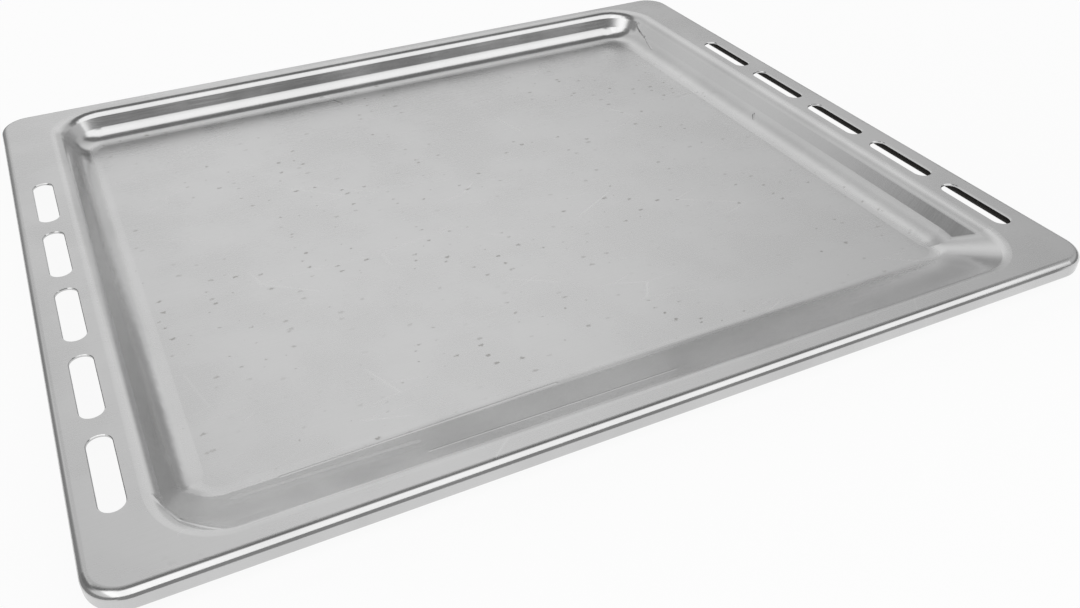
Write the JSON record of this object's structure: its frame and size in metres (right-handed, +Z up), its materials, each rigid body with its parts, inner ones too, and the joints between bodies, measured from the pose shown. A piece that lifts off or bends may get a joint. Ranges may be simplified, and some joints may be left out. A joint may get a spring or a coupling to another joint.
{
  "type": "cookie sheet",
  "caption": "Shallow rectangular aluminium oven tray with a pressed well, a low front ramp, slotted side flanges and a rolled rim over a stiffening wire.",
  "frame": {"origin": "middle of the tray's outer rectangle, on the plane that its floor rests on", "axes": "+Z up out of the well, +X to the right along the long side, -Y to the front where the ramp is"},
  "size_m": [0.445, 0.375, 0.016],
  "materials": {
    "rolled_aluminium": "bright rolled sheet, lightly scuffed",
    "galvanised_steel_wire": "dull zinc-coated drawn wire"
  },
  "bodies": {
    "root": {"pressed_sheet": "rolled_aluminium", "rim_wire": "galvanised_steel_wire"}
  },
  "joints": []
}
